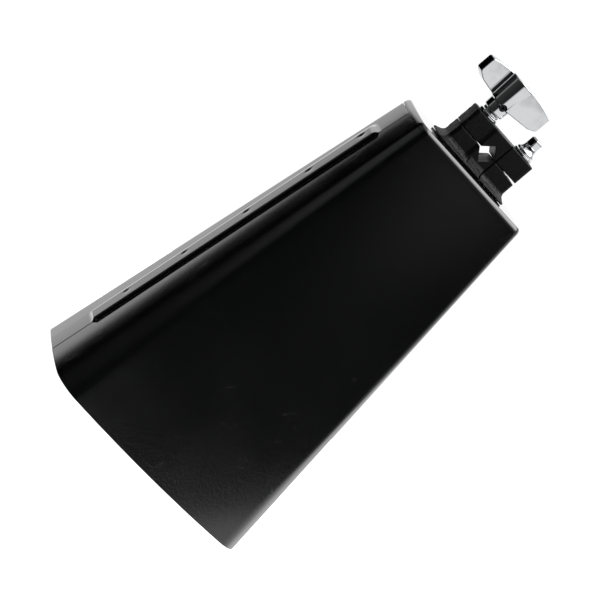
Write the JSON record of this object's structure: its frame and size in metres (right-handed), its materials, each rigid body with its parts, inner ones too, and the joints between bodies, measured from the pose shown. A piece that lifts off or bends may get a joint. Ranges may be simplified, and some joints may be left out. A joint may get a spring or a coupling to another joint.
{
  "type": "cowbell",
  "caption": "Black sheet-steel cowbell with a tapered rectangular body and a cast rod clamp, closed by a wing screw and a key bolt, on its closed end.",
  "frame": {"origin": "centre of the bell's mouth, on the plane that the bell stands on", "axes": "+Z from the mouth to the closed end and the clamp, -Y out of the broad front face, X across the narrow sides with the wing screw on the -X side"},
  "size_m": [0.1352, 0.0948, 0.2652],
  "materials": {
    "bell_paint": "semi-gloss black powder coat",
    "cast_black": "satin black over a rough casting",
    "chrome": "polished chrome plate",
    "zinc_plate": "zinc plated steel",
    "black_steel": "black oxide steel"
  },
  "bodies": {
    "bell": {"front_shell": "bell_paint", "rear_shell": "bell_paint", "clamp_base": "cast_black", "backing_plate": "zinc_plate", "mount_screw_left": "zinc_plate", "mount_screw_right": "zinc_plate", "mount_lock_washer_left": "zinc_plate", "mount_lock_washer_right": "zinc_plate", "wing_stud_nut": "zinc_plate", "key_bolt_nut": "zinc_plate"},
    "jaw": {"clamp_jaw": "cast_black"},
    "wing_washers": {"wing_flat_washer": "chrome", "wing_spring_washer": "chrome"},
    "wing_screw": {"wing_handle": "chrome", "wing_stud": "zinc_plate", "wing_set_screw": "black_steel"},
    "key_washers": {"key_washer": "chrome"},
    "key_screw": {"key_bolt": "chrome"}
  },
  "joints": [
    {"name": "wing_travel", "type": "slide", "parent": "bell", "child": "wing_washers", "axis": [0, 0, 1], "range_m": [0, 0.00251]},
    {"name": "wing_turn", "type": "hinge", "parent": "wing_washers", "child": "wing_screw", "pos_m": [-0.0123, 0, 0.24], "axis": [0, 0, 1], "range_deg": [0, 900]},
    {"name": "jaw_tilt", "type": "hinge", "parent": "bell", "child": "jaw", "pos_m": [0.01005, 0, 0.2404], "axis": [0, 1, 0], "range_deg": [0, 4.02]},
    {"name": "key_travel", "type": "slide", "parent": "bell", "child": "key_washers", "axis": [0, 0, 1], "range_m": [0, 0.002]},
    {"name": "key_turn", "type": "hinge", "parent": "key_washers", "child": "key_screw", "pos_m": [0.0159, 0, 0.24], "axis": [0, 0, 1], "range_deg": [0, 720.2]}
  ],
  "couplings": [
    {"joint": "wing_travel", "follows": "wing_turn", "m_per_rad": 0.00015915},
    {"joint": "jaw_tilt", "follows": "wing_turn", "ratio": 0.0044444},
    {"joint": "key_turn", "follows": "key_travel", "rad_per_m": 6283.2}
  ]
}
